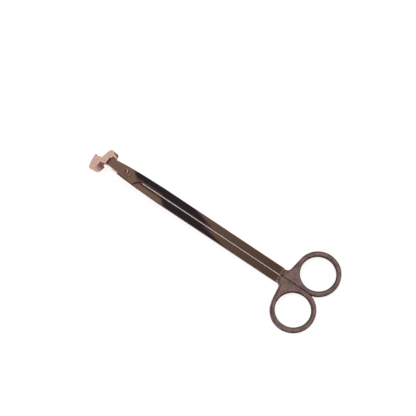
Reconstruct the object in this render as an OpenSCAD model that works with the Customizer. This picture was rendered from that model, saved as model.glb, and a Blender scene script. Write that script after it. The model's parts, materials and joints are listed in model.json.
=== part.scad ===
// Wick trimmer: long scissors with two half-dish blades that catch the cut wick.
//
// Every piece is drawn in the arm frame first: the pivot is the origin, +X runs along the arms to the
// finger rings, +Z is the rivet's axis and its domed head is on top. lie_down() then lays the tool on
// a table, on the rim of its outer dish and on its two finger rings, with the origin on the table
// under the middle of the tool.

/* [Overall] */
// From the pivot to the middle of the finger rings
ring_reach = 136.5; // [110:0.5:165]
// Angle between the arms and the blades
bend_angle = 44; // [38:1:54]

/* [Arms] */
// Thickness of each arm and blade
arm_t = 2; // [1.5:0.1:2.4]
// Width of each arm behind the pivot
arm_w = 4.8; // [4:0.1:6]
// Width of each arm at its neck, where the blade starts
neck_w = 4.8; // [4:0.1:5.4]
// Distance from the pivot to the start of the bend
bend_reach = 10.5; // [9:0.25:14]
// Inside radius of the lower arm's bend
bend_r = 3.7; // [2.5:0.1:5]
// Distance behind the pivot at which the arms are fully side by side
crotch_reach = 12; // [11:0.5:16]
// Radius of the notch that ends the broad part round the pivot
crotch_r = 6; // [5:0.25:7]
// Length over which an arm's edge swells behind the bend
swell_l = 3; // [2:0.25:4]
// How far that edge leaves the neck's line, and reaches the arm's line, over that length
swell_w = 0.5; // [0.2:0.1:0.8]
// Distance behind the pivot at which an arm reaches its straight outer edge
flare_reach = 25; // [20:1:40]

/* [Blades] */
// Half of the head's width, from the middle to the side of a dish
dish_half_w = 9.3; // [8:0.1:11]
// Half of a dish's depth, front to back, where it is a full oval
dish_half_d = 4.6; // [4.3:0.1:5.6]
// Radius of the oval's two ends
dish_end_r = 3.2; // [2.6:0.1:3.8]
// Distance of the flat rear wall behind the middle of the oval
dish_rear = 3.8; // [3:0.1:4]
// Neck of the lower arm, from its bend to the inner dish
inner_neck = 0.4; // [0.3:0.1:2]
// How much further forward the outer dish sits than the inner one
dish_stagger = 4.8; // [3.5:0.1:6]
// How far each cutting edge passes the middle line when the tool is shut
blade_overlap = 1.8; // [1:0.1:2.2]
// Thickness of the dish walls
rim_t = 1; // [0.8:0.1:1.4]
// Height of the outer dish's wall, from the blade's outer face
outer_rim_h = 5.7; // [4.5:0.1:7]
// Height of the inner dish's wall, from that blade's outer face
inner_rim_h = 4.6; // [3.5:0.1:5.5]
// Width of the ground bevel along a cutting edge
bevel_w = 0.9; // [0.5:0.1:1.2]
// Thickness left at a cutting edge
edge_t = 0.4; // [0.2:0.1:0.8]
// Distance from the end of the ground bevel to the dish's front wall
bevel_stop = 0.4; // [0.2:0.1:0.8]

/* [Handles] */
// Radius of a finger hole
hole_r = 11.6; // [9.5:0.1:13.5]
// Width of the band round a finger hole
band_w = 3.3; // [2.8:0.1:4.2]
// Thickness of the handles
handle_t = 4.4; // [4:0.1:5.4]
// Rounding of the band's edges
band_round = 1.5; // [1:0.1:1.6]
// Width left of the band where the two rings lie side by side on the middle line
band_mid = 2.7; // [2:0.1:3.2]
// Radius of the hollow between an arm and its ring
web_fillet = 3; // [2:0.25:5]
// Lean of the web's side between that hollow and the ring
web_lean = 8; // [0:1:14]
// Length of an arm's straight edge that goes on behind the seam, before that hollow
collar_l = 0.3; // [0.2:0.1:4]
// Length of the tang that each handle is cast around
tang_l = 8; // [5:0.5:10]
// Width of the tang
tang_w = 3; // [2.4:0.1:3.4]
// Thickness of the tang
tang_t = 1.2; // [1:0.1:1.4]

/* [Rivet] */
// Radius of the rivet's shank
shank_r = 1.5; // [1.2:0.05:1.8]
// Radius of the domed head
head_r = 2.7; // [2.2:0.05:3]
// Height of the domed head
head_h = 1.1; // [0.8:0.05:1.4]
// Radius of the tail that is closed over below
tail_r = 2.3; // [2.1:0.05:2.8]
// Height of the tail
tail_h = 0.8; // [0.5:0.05:1.2]

/* [Clearances] */
// Gap between the two arms where they lie on each other, and between the blades
layer_gap = 0.15; // [0.12:0.01:0.25]
// Gap between the arms, and between the handles, on the middle line
split_gap = 0.2; // [0.1:0.05:0.4]
// How much further each arm stands from the middle line halfway to its handle
split_bow = 0.4; // [0:0.05:0.8]
// Gap round the shank in the upper arm, which turns on it
running_gap = 0.05; // [0.02:0.01:0.08]
// Gap between the end of a dish's rear wall and the neck
notch_gap = 0.3; // [0.2:0.1:0.6]

/* [Hidden] */
$fn = 96;

far = 400;                                   // longer than any piece, for cutting tools
plated = [0.36, 0.25, 0.20];                 // plated arms
cast = [0.47, 0.34, 0.29];                   // cast handles
satin = [0.73, 0.58, 0.53];                  // rivet

// Heights of the layers in the arm frame
upper_z = layer_gap / 2;                     // underside of the upper arm
lower_z = -layer_gap / 2 - arm_t;            // underside of the lower arm
bend_z = lower_z - bend_r;                   // the bends' common centre line
outer_r = bend_r + 2 * arm_t + layer_gap;    // outer face of the upper arm's bend
inner_r = bend_r + arm_t;                    // outer face of the lower arm's bend

// Middle of each dish, measured forward from the end of the bend
inner_mid = inner_neck + dish_rear;
outer_mid = inner_mid + dish_stagger;

// Large radius of the dish's oval, which meets its end radius smoothly
dish_side_r = (pow(dish_half_w, 2) + pow(dish_half_d, 2) - 2 * dish_half_w * dish_end_r)
              / (2 * (dish_half_d - dish_end_r));
dish_end_y = dish_half_w - dish_end_r;       // middle of the end radius
// Where the large radius changes into the end radius
dish_meet_y = dish_end_y * dish_side_r / (dish_side_r - dish_end_r);

// Handles
ring_r = hole_r + band_w;                    // outside of a finger ring
ring_offset = split_gap / 2 + band_mid + hole_r; // from the middle line to the middle of a hole
arm_edge = split_gap / 2 + arm_w;            // outer edge of an arm at its handle
// The web's side leaves the ring at web_top and would meet the arm's edge at web_foot_x
web_top = [ring_reach - ring_r * cos(web_lean), ring_offset + ring_r * sin(web_lean)];
web_foot_x = web_top.x - (web_top.y - arm_edge) * tan(web_lean);
fillet_run = web_fillet * tan(45 - web_lean / 2); // from that corner to either end of the hollow
fillet_x = web_foot_x - fillet_run;
seam_reach = fillet_x - collar_l;            // from the pivot to the seams

// Lying on a table: the front of the outer rim and the rings' rear lower edges touch it.
outer_front = outer_mid + dish_half_d;
rim_x = -bend_reach - outer_front * cos(bend_angle) - (outer_r - outer_rim_h) * sin(bend_angle);
rim_z = bend_z - outer_front * sin(bend_angle) + (outer_r - outer_rim_h) * cos(bend_angle);
tip_x = -bend_reach - outer_front * cos(bend_angle) - outer_r * sin(bend_angle);
tip_z = bend_z - outer_front * sin(bend_angle) + outer_r * cos(bend_angle);
edge_x = ring_reach + ring_r - band_round;   // middle of the rounding at the rear of a ring
edge_z = band_round - handle_t / 2;
lie_angle = atan2(edge_z - rim_z, edge_x - rim_x)
            - asin(band_round / norm([edge_x - rim_x, edge_z - rim_z]));
lie_z = rim_x * sin(lie_angle) - rim_z * cos(lie_angle);
front_x = tip_x * cos(lie_angle) + tip_z * sin(lie_angle);
rear_x = edge_x * cos(lie_angle) - edge_z * sin(lie_angle) + band_round;
lie_x = -(front_x + rear_x) / 2;

// Puts a piece from the arm frame on the table.
module lie_down() translate([lie_x, 0, lie_z]) rotate([0, lie_angle, 0]) children();

// The same piece on the other side of the middle line
module other_side() mirror([0, 1, 0]) children();

// Frame of the blades: x runs forward, y to the upper arm's blade side and z out of the blades, with
// the bends' common centre line at the origin.
module on_blade() translate([-bend_reach, 0, bend_z]) rotate([0, bend_angle, 180]) children();

// One point of a curve with two end points and two handles
function curve(a, b, c, d, t) =
    pow(1 - t, 3) * a + 3 * pow(1 - t, 2) * t * b + 3 * (1 - t) * t * t * c + pow(t, 3) * d;

// Plan of the broad part round the pivot, from the neck to where both outer edges run straight
module broad_plan() {
    steps = 20;
    neck_x = -bend_reach - outer_r * sin(bend_angle);
    start = [neck_x, neck_w / 2];
    start_pull = [-bend_reach + swell_l / 2, neck_w / 2 + swell_w];
    end_pull = [-bend_reach + swell_l * 3 / 2, arm_edge - swell_w];
    end = [flare_reach, arm_edge];
    side = [for (i = [0 : steps]) curve(start, start_pull, end_pull, end, i / steps)];
    polygon(concat(side, [for (i = [steps : -1 : 0]) [side[i].x, -side[i].y]]));
}

// Plan of an arm: broad at the pivot, then a strip on the +Y side of the middle line. Its inner edge
// bows away from that line, so that the shut arms touch nowhere between the pivot and the handles.
module arm_plan() {
    steps = 16;
    bow_l = seam_reach - crotch_reach;
    bow = [for (i = [1 : steps - 1]) let (t = i / steps)
           [crotch_reach + bow_l * t, split_gap / 2 + split_bow * pow(4 * t * (1 - t), 2)]];
    difference() {
        union() {
            broad_plan();
            translate([flare_reach, split_gap / 2]) square([seam_reach - flare_reach, arm_w]);
        }
        translate([crotch_reach, split_gap / 2 - crotch_r]) circle(crotch_r);
        translate([crotch_reach, split_gap / 2 - far]) square(far);
        polygon(concat([[crotch_reach, 0], [crotch_reach, split_gap / 2]], bow,
                       [[seam_reach, split_gap / 2], [seam_reach, 0]]));
    }
}

// Flat part of an arm, its tang and the bent neck; face_r is the outer radius of its bend. The bend is
// a quarter turn that the blade's own end plane cuts off, so that the two always meet face to face.
module strip(floor_z, tang_z, face_r) {
    translate([0, 0, floor_z]) linear_extrude(arm_t) intersection() {
        arm_plan();
        translate([-bend_reach, -far / 2]) square(far);
    }
    translate([seam_reach - arm_t, split_gap / 2 + (arm_w - tang_w) / 2, tang_z])
        cube([tang_l + arm_t, tang_w, tang_t]);
    difference() {
        intersection() {
            translate([-bend_reach, 0, bend_z]) rotate([90, 0, 0]) rotate([0, 0, 90])
                rotate_extrude(angle = 90)
                translate([face_r - arm_t, -far / 4]) square([arm_t, far / 2]);
            translate([0, 0, -far / 2]) linear_extrude(far) broad_plan();
        }
        on_blade() translate([0, -far / 2, -far / 2]) cube(far);
    }
}

// Oval of a dish, drawn a given distance inside its outline
module oval(inset) {
    intersection() {
        translate([dish_half_d - dish_side_r, 0]) circle(dish_side_r - inset);
        translate([dish_side_r - dish_half_d, 0]) circle(dish_side_r - inset);
        square([far, 2 * dish_meet_y], center = true);
    }
    for (side = [-1, 1]) translate([0, side * dish_end_y]) circle(dish_end_r - inset);
}

// The oval with its flat rear, as far as the cutting edge
module dish_plan(inset, edge_y) {
    intersection() {
        oval(inset);
        translate([inset - dish_rear, -edge_y]) square(far);
    }
}

// Half-dish blade: plate, wall, and the neck that joins them to the bend. The plate's outer face is
// at face_r from the bend's centre line; mid is the dish's middle, bevel_out says whether the
// cutting edge is ground on the outer face or on the inside of the dish.
module half_dish(face_r, mid, rim_h, bevel_out) {
    neck_l = mid - dish_rear + rim_t;
    bevel_l = 2 * dish_half_d - 2 * rim_t - bevel_stop;
    grind = atan2(arm_t - edge_t, bevel_w);
    bevel_z = bevel_out ? face_r - arm_t + edge_t : face_r - edge_t;
    difference() {
        union() {
            translate([mid, 0, face_r - arm_t]) linear_extrude(arm_t) dish_plan(0, blade_overlap);
            translate([0, -neck_w / 2, face_r - arm_t]) cube([neck_l, neck_w, arm_t]);
            translate([mid, 0, face_r - rim_h]) linear_extrude(rim_h) difference() {
                dish_plan(0, blade_overlap);
                dish_plan(rim_t, far / 2);
                translate([-far / 2 - dish_rear + 2 * rim_t, -far / 2])
                    square([far / 2, far / 2 + neck_w / 2 + notch_gap]);
            }
        }
        translate([neck_l, -blade_overlap, bevel_z]) rotate([bevel_out ? grind : -grind, 0, 0])
            translate([0, -far / 2, bevel_out ? 0 : -far]) cube([bevel_l, far, far]);
    }
}

// Upper arm: outer blade on the -Y side, turning on the rivet
module upper_arm() color(plated) lie_down() difference() {
    union() {
        strip(upper_z, upper_z, outer_r);
        on_blade() half_dish(outer_r, outer_mid, outer_rim_h, true);
    }
    cylinder(r = shank_r + running_gap, h = far, center = true);
}

// Lower arm: inner blade on the +Y side, holding the rivet. From the bend forward it ends in line with
// its cutting edge, so that its corner stays inside the upper arm's bend as the tool opens.
module lower_arm() color(plated) lie_down() other_side() difference() {
    union() {
        strip(lower_z, -upper_z - tang_t, inner_r);
        on_blade() half_dish(inner_r, inner_mid, inner_rim_h, false);
    }
    cylinder(r = shank_r, h = far, center = true);
    translate([-bend_reach - far, blade_overlap, -far / 2]) cube(far);
}

// Finger-ring handle on the +Y side, cast round the tang of its arm
module handle(tang_z) {
    difference() {
        union() {
            translate([0, 0, -handle_t / 2]) linear_extrude(handle_t) handle_web();
            intersection() {
                translate([ring_reach, ring_offset, 0]) rotate_extrude() band_section();
                translate([0, split_gap / 2, -far / 2]) cube(far);
            }
        }
        translate([seam_reach - far, split_gap / 2 + (arm_w - tang_w) / 2, tang_z])
            cube([far + tang_l, tang_w, tang_t]);
    }
}

// Section of the band round a finger hole
module band_section() {
    translate([hole_r, band_round - handle_t / 2]) square([band_w, handle_t - 2 * band_round]);
    translate([hole_r + band_round, -handle_t / 2]) square([band_w - 2 * band_round, handle_t]);
    for (x = [hole_r + band_round, ring_r - band_round], y = [-1, 1])
        translate([x, y * (handle_t / 2 - band_round)]) circle(band_round);
}

// Web between an arm and its ring: a hollow behind the seam, then a side that leans to the ring. It ends
// inside the band.
module handle_web() {
    floor_y = split_gap / 2;
    difference() {
        polygon([[seam_reach, floor_y], [seam_reach, arm_edge], [fillet_x, arm_edge],
                 [fillet_x, arm_edge + web_fillet],
                 [web_foot_x + fillet_run * sin(web_lean), arm_edge + fillet_run * cos(web_lean)],
                 web_top, [ring_reach, ring_offset], [ring_reach, floor_y]]);
        translate([fillet_x, arm_edge + web_fillet]) circle(web_fillet);
        translate([ring_reach, ring_offset]) circle(hole_r + band_w / 2);
    }
}

module upper_handle() color(cast) lie_down() handle(upper_z);
module lower_handle() color(cast) lie_down() other_side() handle(-upper_z - tang_t);

// Cap of a sphere with its flat side on z = 0
module dome(r, h) {
    sphere_r = (r * r + h * h) / (2 * h);
    intersection() {
        translate([0, 0, h - sphere_r]) sphere(sphere_r);
        cylinder(r = r, h = h);
    }
}

// Rivet: domed head above the upper arm, shank through both arms, tail closed over below
module pivot_rivet() color(satin) lie_down() {
    head_z = upper_z + arm_t + running_gap;
    translate([0, 0, head_z]) dome(head_r, head_h);
    translate([0, 0, lower_z]) cylinder(r = shank_r, h = head_z - lower_z);
    translate([0, 0, lower_z]) mirror([0, 0, 1]) dome(tail_r, tail_h);
}

upper_arm();
lower_arm();
upper_handle();
lower_handle();
pivot_rivet();
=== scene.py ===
# %% [markdown]
# # A wick trimmer
#
# A wick trimmer is a pair of long scissors whose blades are two halves of a shallow dish. The dish lies
# on the wax, the blades snip the wick, and the cut end stays in the dish. This notebook dresses the
# packed design of such a tool: two plated steel arms, two cast finger rings and one rivet.
#
# The design says where everything is, so the first step is to load it. The finished model is built to
# stay inside the design's box.

# %% Load the design
import json
import math

import bmesh
import bpy
from mathutils import Matrix, Vector
from mathutils.noise import fractal

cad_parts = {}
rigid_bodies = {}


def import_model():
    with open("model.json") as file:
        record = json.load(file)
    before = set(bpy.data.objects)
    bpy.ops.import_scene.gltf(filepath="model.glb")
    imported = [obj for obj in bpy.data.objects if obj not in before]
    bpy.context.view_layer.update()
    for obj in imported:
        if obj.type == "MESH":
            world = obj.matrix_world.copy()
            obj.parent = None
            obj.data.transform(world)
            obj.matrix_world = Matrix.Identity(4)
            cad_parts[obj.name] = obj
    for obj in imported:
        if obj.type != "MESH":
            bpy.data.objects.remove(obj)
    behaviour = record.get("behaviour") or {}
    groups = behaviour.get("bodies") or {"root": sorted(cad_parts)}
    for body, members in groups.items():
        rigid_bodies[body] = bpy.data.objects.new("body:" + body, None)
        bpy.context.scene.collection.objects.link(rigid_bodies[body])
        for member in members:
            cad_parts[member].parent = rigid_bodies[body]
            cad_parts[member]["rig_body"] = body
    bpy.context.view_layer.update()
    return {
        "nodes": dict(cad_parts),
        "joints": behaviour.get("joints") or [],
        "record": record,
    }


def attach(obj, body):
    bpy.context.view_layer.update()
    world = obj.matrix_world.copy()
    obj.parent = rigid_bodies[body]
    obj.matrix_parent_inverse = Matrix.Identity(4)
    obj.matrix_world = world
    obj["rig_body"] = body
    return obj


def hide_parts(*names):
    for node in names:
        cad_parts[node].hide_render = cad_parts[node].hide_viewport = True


MM = 0.001
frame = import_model()
pivot = frame["joints"][0]
mounts = {mount["name"]: mount for mount in frame["record"]["mounts"]}

# %% [markdown]
# ## The tool's own frame
#
# The tool lies on the table with its arms sloping down to the finger rings, so the table's axes are
# awkward for describing it. The hinge gives a better frame: its origin is the pivot, its Z is the
# rivet's axis, and its X runs along the arms. Every size below is given in that frame, in millimetres,
# and one matrix takes a finished mesh to the table.

# %% Arm frame
SHARP_ANGLE = math.radians(35)
up = Vector(pivot["axis"]).normalized()
along = Vector((0, 1, 0)).cross(up)
ARM = Matrix.Translation(Vector(pivot["pos_m"])) @ Matrix((
    (along.x, 0, up.x), (along.y, 1, up.y), (along.z, 0, up.z))).to_4x4() @ Matrix.Scale(MM, 4)
TO_ARM = ARM.inverted()


def linked(name, data):
    """A new object in the scene."""
    obj = bpy.data.objects.new(name, data)
    bpy.context.scene.collection.objects.link(obj)
    return obj


def node_box(name):
    """Lowest and highest corner of a part of the design, in the arm frame."""
    points = [TO_ARM @ vertex.co for vertex in frame["nodes"][name].data.vertices]
    return (Vector([min(p[i] for p in points) for i in range(3)]),
            Vector([max(p[i] for p in points) for i in range(3)]))


handle_low, handle_high = node_box("upper_handle")
arm_high = node_box("upper_arm")[1]
hole_mount = mounts["upper_finger_hole"]
hole_mid = TO_ARM @ Vector(hole_mount["pos_m"])
hole_r = hole_mount["dims"]["r_mm"]
ring_r = handle_high.x - hole_mid.x
print("arms lean", round(math.degrees(math.atan2(up.x, up.z)), 2), "degrees; ring radius", round(ring_r, 2))

# %% [markdown]
# ## Camera
#
# Small shiny things are shot with a long lens from well above: the arms stay parallel, the finger rings
# stay round, and the mirror-like faces reflect one small part of the studio. The focal length follows
# from the distance and from how large the tool should be in the picture.

# %% Camera
VIEW_ELEVATION = math.radians(72)
VIEW_TURN = math.radians(33.97)
VIEW_DISTANCE = 4
PICTURE_WIDTH = 0.265137  # metres across the picture, measured at the tool
AIM_RIGHT, AIM_UP = -0.0007, 0.0152

right = Vector((math.cos(VIEW_TURN), math.sin(VIEW_TURN), 0))
level = Vector((-math.sin(VIEW_TURN), math.cos(VIEW_TURN), 0))
toward = math.sin(VIEW_ELEVATION) * Vector((0, 0, 1)) - math.cos(VIEW_ELEVATION) * level
upward = toward.cross(right)
camera_data = bpy.data.cameras.new("camera")
camera_data.lens = camera_data.sensor_width * VIEW_DISTANCE / PICTURE_WIDTH
camera_data.clip_start = 0.01
camera = linked("camera", camera_data)
aim = right * AIM_RIGHT + upward * AIM_UP
camera.matrix_world = Matrix.Translation(aim + toward * VIEW_DISTANCE) @ Matrix((
    (right.x, upward.x, toward.x), (right.y, upward.y, toward.y), (right.z, upward.z, toward.z))).to_4x4()
bpy.context.scene.camera = camera
print("lens", round(camera_data.lens), "mm")

# %% [markdown]
# ## Shader maths as Python
#
# A shader is a sum of small formulas. Wiring Math nodes by hand hides the formula, so one small class
# stands for a socket and turns Python's own operators into Math nodes. `shade` makes any other node:
# it takes the node's type, its settings, which are set first, and the values or links of its sockets.

# %% Socket maths
class Value:
    """A number that changes over a surface: one output socket, with Python's own operators."""

    def __init__(self, tree, socket):
        self.tree = tree
        self.socket = socket

    def math(self, operation, *others):
        return shade(self.tree, "ShaderNodeMath", {"operation": operation}, dict(enumerate((self, *others))))

    def __add__(self, other):
        return self.math("ADD", other)

    def __sub__(self, other):
        return self.math("SUBTRACT", other)

    def __rsub__(self, other):
        return self.math("MULTIPLY_ADD", -1, other)

    def __mul__(self, other):
        return self.math("MULTIPLY", other)

    __radd__ = __add__
    __rmul__ = __mul__


def shade(tree, kind, settings=None, sockets=None, output=0):
    """One node: its settings are set first, then each socket gets a value or a link."""
    node = tree.nodes.new(kind)
    for name, setting in (settings or {}).items():
        setattr(node, name, setting)
    for name, value in (sockets or {}).items():
        if isinstance(value, Value):
            tree.links.new(value.socket, node.inputs[name])
        else:
            node.inputs[name].default_value = value
    return Value(tree, node.outputs[output])


print("operators:", [name for name in vars(Value) if name.startswith("__r")])

# %% [markdown]
# Six short helpers cover what the finishes need: a soft step, a mix of two colours, cloudy noise, one
# part of a vector, a texture space, and a stretched copy of it. That space is the tool's own frame in
# millimetres, so a size in a material means the same as a size in the design, and a texture stays on
# its piece as it turns.

# %% Texture helpers
MIX_A, MIX_B, MIX_RESULT = 6, 7, 2  # a Mix node has sockets of the same name for each data type


def smooth(value, low, high):
    """0 below low, 1 above high, and a soft step between."""
    return shade(value.tree, "ShaderNodeMapRange", {"interpolation_type": "SMOOTHSTEP"},
                 {"Value": value, "From Min": low, "From Max": high})


def mix(factor, a, b):
    """Colour a where the factor is 0, and colour b where it is 1."""
    return shade(factor.tree, "ShaderNodeMix", {"data_type": "RGBA"},
                 {"Factor": factor, MIX_A: a, MIX_B: b}, MIX_RESULT)


def noise(place, scale, detail, roughness=0.5):
    """Soft cloudy noise about 0.5; its scale is in waves per millimetre."""
    return shade(place.tree, "ShaderNodeTexNoise", None,
                 {"Vector": place, "Scale": scale, "Detail": detail, "Roughness": roughness})


def part_of(vector, axis):
    """One of the three parts of a vector."""
    return shade(vector.tree, "ShaderNodeSeparateXYZ", None, {"Vector": vector}, axis)


def arm_space(tree):
    """The surface point in the tool's own frame, in millimetres."""
    return shade(tree, "ShaderNodeMapping", {"vector_type": "TEXTURE"},
                 {"Vector": shade(tree, "ShaderNodeTexCoord", output="Object"), "Location": ARM.translation,
                  "Rotation": ARM.to_euler(), "Scale": (MM, MM, MM)})


def stretched(place, scale, turn=(0, 0, 0)):
    """A texture space that is stretched and turned."""
    return shade(place.tree, "ShaderNodeMapping", None, {"Vector": place, "Rotation": turn, "Scale": scale})


print("texture space:", round(1 / MM), "units per metre")

# %% [markdown]
# ## Plated steel
#
# The steel is polished and then gets a thin bronze-coloured metal coat in a vacuum chamber. The coat is
# metal itself, so the shader is fully metallic and its Base Color is the colour of the reflection.
# What makes it look real is in the small things: fine lines from drawing or casting, fingerprints that
# dull the gloss, hairline scratches, and patches where the coat came out a little thicker and darker.

# %% Base of every plated finish
GRAIN_BUMP = 0.0001
PATCH_EDGES, LINE_EDGES, PATCH_SHARE = (0.35, 0.6), (0.3, 0.7), 0.75
PRINT_EDGES, SCRATCH_EDGES = (0.48, 0.72), (0.70, 0.76)
PRINT_ROUGH, SCRATCH_ROUGH, LINE_ROUGH = 0.02, 0.08, 0.03
LINE_HEIGHT, SCRATCH_DEPTH = 0.5, 0.6
PRINT_SIZE = 0.21
SCRATCH_STRETCH = (0.25, 4, 4)
SCRATCH_TURN = (0.3, 0.2, 0.5)


def plated(name, bright, deep, roughness, grain, patch_size, bump):
    """A metallic finish; grain is in lines per millimetre along each axis, patch_size in patches."""
    material = bpy.data.materials.new(name)
    material.use_nodes = True
    tree = material.node_tree
    shader = tree.nodes["Principled BSDF"]
    shader.inputs["Metallic"].default_value = 1
    place = arm_space(tree)
    lines = noise(stretched(place, grain), 1.0, 4.0, 0.6)
    patches = noise(place, patch_size, 4.0, 0.55)
    prints = smooth(noise(place, PRINT_SIZE, 2.0), *PRINT_EDGES)
    hairs = noise(stretched(place, SCRATCH_STRETCH, SCRATCH_TURN), 1.0, 1.0)
    scratches = smooth(hairs, *SCRATCH_EDGES)
    tone = smooth(patches, *PATCH_EDGES) * PATCH_SHARE + smooth(lines, *LINE_EDGES) * (1 - PATCH_SHARE)
    tree.links.new(mix(tone, deep, bright).socket, shader.inputs["Base Color"])
    rough = roughness + prints * PRINT_ROUGH + scratches * SCRATCH_ROUGH + (lines - 0.5) * LINE_ROUGH
    tree.links.new(rough.socket, shader.inputs["Roughness"])
    height = lines * LINE_HEIGHT - scratches * SCRATCH_DEPTH
    relief = shade(tree, "ShaderNodeBump", None,
                   {"Strength": bump, "Distance": GRAIN_BUMP, "Height": height})
    tree.links.new(relief.socket, shader.inputs["Normal"])
    return material


polished = plated("polished_plating", bright=(0.58, 0.35, 0.26, 1), deep=(0.55, 0.33, 0.24, 1),
                  roughness=0.02, grain=(0.06, 6, 6), patch_size=0.09, bump=0.02)
satin = plated("satin_blade_plating", bright=(0.56, 0.345, 0.29, 1), deep=(0.50, 0.31, 0.26, 1),
               roughness=0.3, grain=(3, 12, 3), patch_size=0.2, bump=0.08)
cast = plated("cast_plating", bright=(0.58, 0.37, 0.31, 1), deep=(0.30, 0.21, 0.22, 1),
              roughness=0.15, grain=(0.9, 0.9, 0.9), patch_size=0.22, bump=0.08)
print("materials:", [material.name for material in (polished, satin, cast)])

# %% [markdown]
# ## Arms with softened edges
#
# The arms are stamped strips, bent and ground. The design has their exact shape, so each arm starts as a
# copy of its design part. The copy's triangles are merged into whole faces first, because a bevel needs
# clean edges. A polishing wheel takes the sharpness off real edges, so a Bevel modifier softens them. It
# never lets two bevels overlap, and the short edges of these meshes leave it little room, so the round
# comes out much thinner than the width it is given. A Weighted Normal modifier after it keeps the flat
# faces flat in their shading; without it, the reflections on them would bend towards every edge.
#
# The dish walls of the blades lean inwards a little, as a press needs them to, to let go of the part.

# %% Arms
EDGE_ROUND = 0.15
WELD = 0.002
BLADE_SATIN_X = -14.0
MERGE_ANGLE = math.radians(1)
FLAT_TILT, BEND_TILT = 2, 42
BEND_SQUARE = 0.02
NECK_HALF = 2.6
DRAFT = 0.27
DRAFT_RUN = 3.0
blade_spot = TO_ARM @ Vector(mounts["wax_face"]["pos_m"])
blade_out = (TO_ARM.to_3x3() @ Vector(mounts["wax_face"]["axis"])).normalized()


def softened_copy(node, name, materials, pick):
    """A copy of a design part with merged faces and rounded edges, in the arm frame."""
    source = frame["nodes"][node]
    body = source["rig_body"]
    bm = bmesh.new()
    bm.from_mesh(source.data)
    bm.transform(TO_ARM)
    bmesh.ops.remove_doubles(bm, verts=bm.verts, dist=WELD)
    bmesh.ops.dissolve_limit(bm, angle_limit=MERGE_ANGLE, verts=bm.verts, edges=bm.edges)
    for face in bm.faces:
        face.smooth = True
        face.material_index = pick(face)
    for vertex in bm.verts:
        vertex.co = drafted(vertex.co)
    mesh = bpy.data.meshes.new(name)
    bm.to_mesh(mesh)
    bm.free()
    mesh.transform(ARM)
    for material in materials:
        mesh.materials.append(material)
    piece = linked(name, mesh)
    bevel = piece.modifiers.new("rounded_edges", "BEVEL")
    bevel.width = EDGE_ROUND * MM
    bevel.segments = 2
    bevel.limit_method = "ANGLE"
    bevel.angle_limit = SHARP_ANGLE
    flats = piece.modifiers.new("flat_faces_stay_flat", "WEIGHTED_NORMAL")
    flats.weight = 90
    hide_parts(node)
    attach(piece, body)
    return piece


def on_blade(face):
    """The blade is satin; the arm and the facets of its bend are polished."""
    tilt = math.degrees(math.acos(min(1, abs(face.normal.z))))
    in_bend = abs(face.normal.y) < BEND_SQUARE and FLAT_TILT < tilt < BEND_TILT
    return 1 if face.calc_center_median().x < BLADE_SATIN_X and not in_bend else 0


def drafted(point):
    """Leans the dish walls inwards: the further from the middle and from the blade's face, the more."""
    depth = (point - blade_spot).dot(blade_out)
    reach = min(1, max(0, (abs(point.y) - NECK_HALF) / DRAFT_RUN))
    if depth > 0 or point.x > BLADE_SATIN_X:
        return point
    return Vector((point.x, point.y + math.copysign(DRAFT, point.y) * depth * reach, point.z))


for node in ("upper_arm", "lower_arm"):
    piece = softened_copy(node, node + "_plated", [polished, satin], on_blade)
    print(piece.name, len(piece.data.polygons), "faces")

# %% [markdown]
# ## Cast finger rings
#
# The handles are cast round the ends of the arms: a ring, and a web that runs into it in a hollow
# curve. First comes the outline of one handle, made of the same arcs as the design's. It runs a little
# past the middle line, where a straight cut later leaves the flat that meets the other handle.

# %% Handle outline
BAND_ROUND = 1.15
ARC_STEP = math.radians(4)
CAST_VOXEL = 0.22
WEB_FILLET = 3.0
WEB_LEAN = math.radians(8)
arm_edge = arm_high.y
floor_y = handle_low.y


def arc(centre, radius, start, end):
    """Points of an arc from one angle to another, in the arm frame."""
    count = max(2, round(abs(end - start) / ARC_STEP))
    return [(centre[0] + radius * math.cos(start + (end - start) * i / count),
             centre[1] + radius * math.sin(start + (end - start) * i / count)) for i in range(count + 1)]


def handle_outline():
    """Outline of the +Y handle: seam, hollow, leaning side, ring, and the flat on the middle line."""
    leave = math.pi - WEB_LEAN
    top = (hole_mid.x + ring_r * math.cos(leave), hole_mid.y + ring_r * math.sin(leave))
    foot_x = top[0] - (top[1] - arm_edge) * math.tan(WEB_LEAN)
    run = WEB_FILLET * math.tan(math.pi / 4 - WEB_LEAN / 2)
    hollow = (foot_x - run, arm_edge + WEB_FILLET)
    spare_y = floor_y - BAND_ROUND
    return ([(handle_low.x, spare_y), (handle_low.x, arm_edge)]
            + arc(hollow, WEB_FILLET, -math.pi / 2, -WEB_LEAN)
            + arc((hole_mid.x, hole_mid.y), ring_r, leave, -math.pi / 2)
            + [(hole_mid.x - ring_r / 3, spare_y)])


outline = handle_outline()
print("outline", len(outline), "points")

# %% [markdown]
# A 2-D curve turns the outline into a solid: a second spline in it is the finger hole, and the curve's
# own bevel rounds all edges alike. A casting is never as flat as a stamping. So the solid is remeshed
# finely, smoothed, and sunk by a slow noise, which gives it the slight waviness of a polished casting.
# The lower handle is the same mesh, mirrored, with its own waviness.

# %% Handles from a 2-D curve
LUMP_SIZE = 0.16
LUMP_HEIGHT = 0.07
LUMP_FALL, LUMP_STEP, LUMP_OCTAVES = 0.6, 2.0, 3
HOLE_WELD = 0.001


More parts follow.
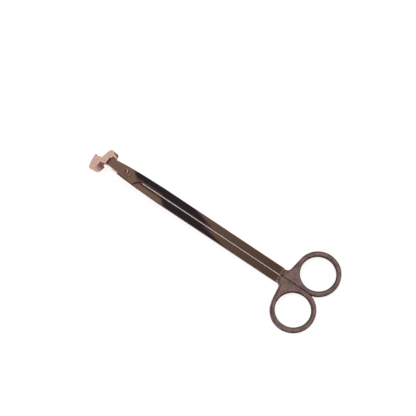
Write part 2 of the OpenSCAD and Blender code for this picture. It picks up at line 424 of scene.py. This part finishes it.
def cut_flat(mesh):
    """Cuts off what stands over the middle line, which leaves the flat that meets the other handle."""
    bm = bmesh.new()
    bm.from_mesh(mesh)
    bmesh.ops.remove_doubles(bm, verts=bm.verts, dist=HOLE_WELD)
    every = bm.verts[:] + bm.edges[:] + bm.faces[:]
    cut = bmesh.ops.bisect_plane(bm, geom=every, plane_co=(0, floor_y + CAST_VOXEL / 4, 0),
                                 plane_no=(0, -1, 0), clear_outer=True)
    bmesh.ops.triangle_fill(bm, use_beauty=True, edges=[e for e in cut["geom_cut"]
                                                        if isinstance(e, bmesh.types.BMEdge)])
    bm.to_mesh(mesh)
    bm.free()
    return mesh


def evaluated_mesh(piece):
    """The mesh that a piece's modifiers or curve settings make."""
    depsgraph = bpy.context.evaluated_depsgraph_get()
    return bpy.data.meshes.new_from_object(piece.evaluated_get(depsgraph))


def handle_mesh(name):
    """The +Y handle as a fine mesh: rounded outline, finger hole, and a slightly wavy cast surface."""
    curve = bpy.data.curves.new(name, "CURVE")
    curve.dimensions = "2D"
    curve.fill_mode = "BOTH"
    for points in (outline, arc((hole_mid.x, hole_mid.y), hole_r, 0, 2 * math.pi)[:-1]):
        spline = curve.splines.new("POLY")
        spline.points.add(len(points) - 1)
        for point, (x, y) in zip(spline.points, points):
            point.co = (x, y, 0, 1)
        spline.use_cyclic_u = True
    curve.bevel_depth = BAND_ROUND
    curve.bevel_resolution = 6
    curve.offset = -BAND_ROUND
    curve.extrude = (handle_high.z - handle_low.z) / 2 - BAND_ROUND
    draft = linked(name + "_draft", curve)
    solid = linked(name + "_solid", cut_flat(evaluated_mesh(draft)))
    remesh = solid.modifiers.new("even_faces", "REMESH")
    remesh.mode = "VOXEL"
    remesh.voxel_size = CAST_VOXEL
    remesh.use_smooth_shade = True
    smoothing = solid.modifiers.new("polish", "SMOOTH")
    smoothing.factor = 0.5
    smoothing.iterations = 4
    mesh = evaluated_mesh(solid)
    for leftover in (draft, solid):
        bpy.data.objects.remove(leftover)
    return mesh


def cast_surface(mesh, seed):
    """Sinks the surface by up to the lumps' height, so that it stays inside the design's outline."""
    for vertex, normal in [(v, v.normal.copy()) for v in mesh.vertices]:
        place = vertex.co * LUMP_SIZE + Vector((seed, 0, 0))
        lump = fractal(place, LUMP_FALL, LUMP_STEP, LUMP_OCTAVES)
        vertex.co -= normal * LUMP_HEIGHT * (0.5 + 0.5 * max(-1, min(1, lump)))


for side, name, seed in ((1, "upper_handle", 0.0), (-1, "lower_handle", 9.0)):
    mesh = handle_mesh(name)
    cast_surface(mesh, seed)
    if side < 0:
        mesh.transform(Matrix.Diagonal((1, -1, 1, 1)))
        mesh.flip_normals()
    mesh.transform(ARM)
    mesh.materials.clear()
    mesh.materials.append(cast)
    piece = linked(name + "_cast", mesh)
    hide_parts(name)
    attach(piece, frame["nodes"][name]["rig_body"])
    print(piece.name, len(mesh.vertices), "points")

# %% [markdown]
# ## Rivet
#
# One rivet is the hinge. Its head is a low dome with a narrow flat rim, pressed by the riveting tool,
# and the tail below is closed over the lower arm. Both are bodies of revolution, so two helpers are
# enough: one draws half a section of a head, and the other turns a section round the axis.

# %% Rivet helpers
TURN_STEPS = 96
DOME_STEPS = 14
RIM_LIP = 0.22
RIM_H = 0.18
RIM_CORNER = 0.06
RIM_STRAIGHT = 0.7
AXIS_R = 1e-6


def dome_profile(radius, base, top):
    """Half section of a domed head on a thin lip, from the rim to the middle."""
    inner = radius - RIM_LIP
    lip = base + math.copysign(RIM_H, top - base)
    rise = top - lip
    ball = (inner ** 2 + rise ** 2) / (2 * rise)
    corner = base + RIM_STRAIGHT * (lip - base)
    points = [(radius, base), (radius, corner), (radius - RIM_CORNER, lip), (inner, lip)]
    for i in range(1, DOME_STEPS + 1):
        r = inner * (1 - i / DOME_STEPS)
        points.append((r, top - ball + math.copysign(math.sqrt(ball ** 2 - r ** 2), rise)))
    return points


def turned(name, profile):
    """A closed body of revolution about the arm frame's Z axis."""
    bm = bmesh.new()
    rings = []
    for r, z in profile:
        if r < AXIS_R:
            rings.append([bm.verts.new((0, 0, z))])
        else:
            rings.append([bm.verts.new((r * math.cos(2 * math.pi * i / TURN_STEPS),
                                        r * math.sin(2 * math.pi * i / TURN_STEPS), z))
                          for i in range(TURN_STEPS)])
    for a, b in zip(rings, rings[1:]):
        for i in range(TURN_STEPS):
            j = (i + 1) % TURN_STEPS
            corners = [a[i % len(a)], a[j % len(a)], b[j % len(b)], b[i % len(b)]]
            bm.faces.new(list(dict.fromkeys(corners)))
    bmesh.ops.recalc_face_normals(bm, faces=bm.faces)
    for face in bm.faces:
        face.smooth = True
    mesh = bpy.data.meshes.new(name)
    bm.to_mesh(mesh)
    bm.free()
    mesh.transform(ARM)
    mesh.set_sharp_from_angle(angle=SHARP_ANGLE)
    return mesh


print("rivet section of", len(dome_profile(1, 0, 1)), "points a head")

# %% [markdown]
# The head sits on the upper arm with a hair of play, and the tail is a little narrower, as a closed-over
# tail is. The shank between them hides in the holes. The two arms are alike about the pivot's level, so
# the tail starts as far below it as the upper arm's top is above it.

# %% Rivet
HEAD_PLAY = 0.05
HEAD_SPARE = 0.01
TAIL_PART = 0.85
SHANK_R = 1.2
rivet_low, rivet_high = node_box("pivot_rivet")
rivet_r = max(abs(rivet_low.y), rivet_high.y)
head_base = arm_high.z + HEAD_PLAY
tail_base = -arm_high.z
print("rivet", round(rivet_r, 2), "mm radius, from", round(rivet_low.z, 2), "to", round(rivet_high.z, 2))

head = dome_profile(rivet_r, head_base, rivet_high.z - HEAD_SPARE)
tail = dome_profile(rivet_r * TAIL_PART, tail_base, rivet_low.z + HEAD_SPARE)
profile = tail[::-1] + [(SHANK_R, tail_base), (SHANK_R, head_base)] + head
rivet = linked("pivot_rivet_turned", turned("pivot_rivet", profile))
rivet.data.materials.append(polished)
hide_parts("pivot_rivet")
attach(rivet, frame["nodes"]["pivot_rivet"]["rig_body"])
print(rivet.name, len(rivet.data.vertices), "points")

# %% [markdown]
# ## Floor and daylight
#
# The tool lies on white paper, which glows a little to stay even, under a dim even sky. Metal shows
# nothing but reflections, so the one lamp is hidden from reflections and the metal gets its own cards.

# %% Floor, sky and lamps
FLOOR_HALF = 6
PAPER = {"Base Color": (0.93, 0.93, 0.93, 1), "Roughness": 0.9, "Specular IOR Level": 0.1,
         "Emission Color": (1, 1, 1, 1), "Emission Strength": 0.72}
bm = bmesh.new()
bmesh.ops.create_grid(bm, x_segments=1, y_segments=1, size=FLOOR_HALF)
floor_mesh = bpy.data.meshes.new("floor")
bm.to_mesh(floor_mesh)
bm.free()
floor = linked("floor", floor_mesh)
paper = bpy.data.materials.new("white_paper")
paper.use_nodes = True
for socket, value in PAPER.items():
    paper.node_tree.nodes["Principled BSDF"].inputs[socket].default_value = value
floor_mesh.materials.append(paper)

world = bpy.data.worlds.new("studio")
bpy.context.scene.world = world
world.use_nodes = True
sky = world.node_tree.nodes["Background"]
sky.inputs["Color"].default_value = (1, 1, 1, 1)
sky.inputs["Strength"].default_value = 0.2
bpy.context.scene.view_settings.view_transform = "Standard"

lamp_data = bpy.data.lights.new("big_softbox", "AREA")
lamp_data.size = 3.5
lamp_data.energy = 22
lamp = linked("big_softbox", lamp_data)
lamp.location = (0, 0, 2.5)
lamp.visible_glossy = False
print("floor and sky ready")

# %% [markdown]
# ## Cards for the metal
#
# The flat tops of the arms work as mirrors, and each spot of them reflects one spot of the ceiling.
# So the look of the arms is painted on cards, as a product photographer does it: a dim grey card
# overhead and a black flag that gives the long dark reflection. A point of a card is given by the spot
# of the arms that shows it, and is carried up along the mirrored line of sight.

# %% Card and mirror
CEILING = 0.25
LENS = camera.matrix_world.translation


def card(name, corners, colour, strength=1.0):
    """A flat glowing card that only reflections see. Its corners are points in metres."""
    mesh = bpy.data.meshes.new(name)
    mesh.from_pydata([tuple(corner) for corner in corners], [], [tuple(range(len(corners)))])
    obj = linked(name, mesh)
    for ray in ("camera", "diffuse", "shadow", "transmission", "volume_scatter"):
        setattr(obj, "visible_" + ray, False)
    material = bpy.data.materials.new(name)
    material.use_nodes = True
    tree = material.node_tree
    tree.nodes.remove(tree.nodes["Principled BSDF"])
    glow = shade(tree, "ShaderNodeEmission", None, {"Color": (*colour, 1), "Strength": strength})
    tree.links.new(glow.socket, tree.nodes["Material Output"].inputs["Surface"])
    mesh.materials.append(material)
    return glow


def overhead(x, y, height=CEILING):
    """Where the ceiling shows in the arms' tops, for a spot given in the arm frame."""
    spot = ARM @ Vector((x, y, arm_high.z))
    sight = (LENS - spot).normalized()
    mirrored = 2 * up.dot(sight) * up - sight
    return spot + mirrored * (height - spot.z) / mirrored.z


print("the pivot shows the ceiling at", overhead(0, 0))

# %% [markdown]
# The ceiling card fades towards the handles, so the arms get darker along their length. Over the seam it
# has a bright strip, which shows in the handles just behind the seam, and behind that it is a little
# brighter again, because the handles stand out from the arms. The flag hangs just under it. Its outline
# lists the spots of the arms where the dark reflection starts and ends; both ends are slanted.

# %% Ceiling and flag
FLAG_DROP = 0.004
FLAG_COLOUR = (0.04, 0.05, 0.075)
CEILING_LEVEL, FADE, HANDLE_RISE, STRIP = 0.30, 0.16, 0.26, 0.45
CEILING_LOW, CEILING_HIGH = (-250, -300), (350, 300)
seam_x = handle_low.x


def rectangle(low, high):
    """The four corners of a rectangle, in order."""
    return [(low[0], low[1]), (high[0], low[1]), (high[0], high[1]), (low[0], high[1])]


glow = card("ceiling_card", [overhead(x, y) for x, y in rectangle(CEILING_LOW, CEILING_HIGH)], (1, 1, 1))
reach = part_of(shade(glow.tree, "ShaderNodeTexCoord", output="Object"), "X")


def ceiling_step(start, end):
    """A soft step of the ceiling, between the spots that two places along the arms show."""
    return smooth(reach, overhead(start, 0).x, overhead(end, 0).x)


strip = ceiling_step(seam_x - 0.5, seam_x) - ceiling_step(seam_x + 2, seam_x + 3.5)
level = CEILING_LEVEL - ceiling_step(0, seam_x) * FADE + ceiling_step(seam_x, seam_x + 1) * HANDLE_RISE
glow.tree.links.new((level + strip * STRIP).socket, glow.socket.node.inputs["Strength"])

FAR_SIDE = 60
flag_outline = [(1, FAR_SIDE), (1.5, 4.5), (7, -0.4), (26, -0.6), (30, -5), (31, -FAR_SIDE),
                (80, -FAR_SIDE), (78, -5), (58, 0), (65, 0), (49.5, 5), (49.5, FAR_SIDE)]
card("black_flag", [overhead(x, y, CEILING - FLAG_DROP) for x, y in flag_outline], FLAG_COLOUR)
print("ceiling", CEILING, "m up, flag", FLAG_DROP * 1000, "mm under it")

# %% [markdown]
# The bends, the rims and the rivet's dome look sideways. A bright strip low behind the blades draws thin
# light lines on them, a dark card above it draws the dark line at the bend, and a soft glow higher up
# lights the bend itself. One small near card makes the spot on the rivet, and a strip on the handles'
# side lights the split between them. Three dark cards lie on the table: under the arms, behind the outer
# blade and under the handles. They deepen the shadow that the metal's sides reflect there.

# %% Side and table cards
CARD_DISTANCE = 0.7
SHADE_Z = 0.0003


def side_card(name, heading, low, high, half_width, strength, distance=CARD_DISTANCE):
    """An upright card that faces the tool: heading and height are angles in degrees."""
    heading, low, high = (math.radians(angle) for angle in (heading, low, high))
    out = Vector((math.cos(heading), math.sin(heading), 0))
    across = Vector((-out.y, out.x, 0)) * half_width
    bottom = out * distance * math.cos(low) + Vector((0, 0, distance * math.sin(low)))
    top = out * distance * math.cos(high) + Vector((0, 0, distance * math.sin(high)))
    card(name, [bottom - across, bottom + across, top + across, top - across], (1, 1, 1), strength)


def table_card(name, low, high, colour):
    """A card on the table between two corners that are given in the arm frame."""
    corners = [ARM @ Vector((x, y, 0)) for x, y in rectangle(low, high)]
    card(name, [(corner.x, corner.y, SHADE_Z) for corner in corners], colour)


side_card("blade_strip", heading=165, low=-0.5, high=5, half_width=0.5, strength=2.4)
side_card("dark_line_card", heading=165, low=6, high=18, half_width=0.4, strength=0.02)
side_card("bend_glow", heading=165, low=36, high=50, half_width=0.3, strength=0.6)
side_card("rivet_spot", heading=161, low=31, high=35, half_width=0.004, strength=14, distance=0.12)
side_card("split_strip", heading=260, low=10, high=14, half_width=0.2, strength=3)
table_card("shade_under_arms", low=(-9, -14), high=(seam_x, 7), colour=(0.14, 0.11, 0.11))
table_card("shade_behind_blade", low=(-9, 7), high=(60, 45), colour=(0.22, 0.19, 0.18))
far_end = hole_mid.x + ring_r + 12
table_card("shade_under_handles", low=(seam_x, -45), high=(far_end, 45), colour=(0.10, 0.08, 0.08))
print("side cards", CARD_DISTANCE, "m away")

# %% [markdown]
